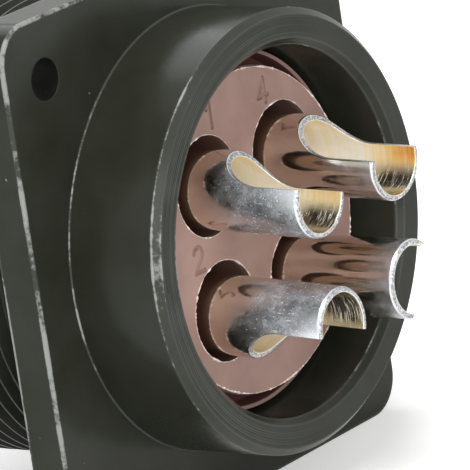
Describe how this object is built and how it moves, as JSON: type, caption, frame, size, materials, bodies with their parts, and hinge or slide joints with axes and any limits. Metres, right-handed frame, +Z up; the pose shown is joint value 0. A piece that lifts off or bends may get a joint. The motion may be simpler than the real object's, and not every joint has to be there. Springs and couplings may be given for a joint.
{
  "type": "circular connector receptacle",
  "caption": "Square-flange circular connector receptacle with a threaded coupling barrel on the mating side and scooped solder cups in a short plain barrel behind the panel.",
  "frame": {"origin": "centre of the four screw holes on the rear face of the flange", "axes": "-Y along the connector axis towards the solder side, +Y towards the mating plug, +Z up through the polarising key at 12 o'clock, +X to the right as seen from the solder side"},
  "size_m": [0.041, 0.0372, 0.041],
  "materials": {
    "shell_plating": "dark olive plating over a turned aluminium shell, satin",
    "insert_rubber": "moulded pinkish brown synthetic rubber, matt",
    "insert_plastic": "moulded rigid insert, matt",
    "spring_steel": "plain spring steel",
    "contact_silver": "silver plate over turned copper alloy"
  },
  "bodies": {
    "root": {"shell": "shell_plating", "rear_insert": "insert_rubber", "front_insert": "insert_plastic", "insert_washer": "spring_steel", "snap_ring": "spring_steel", "contact_1": "contact_silver", "contact_2": "contact_silver", "contact_3": "contact_silver", "contact_4": "contact_silver"}
  },
  "joints": []
}
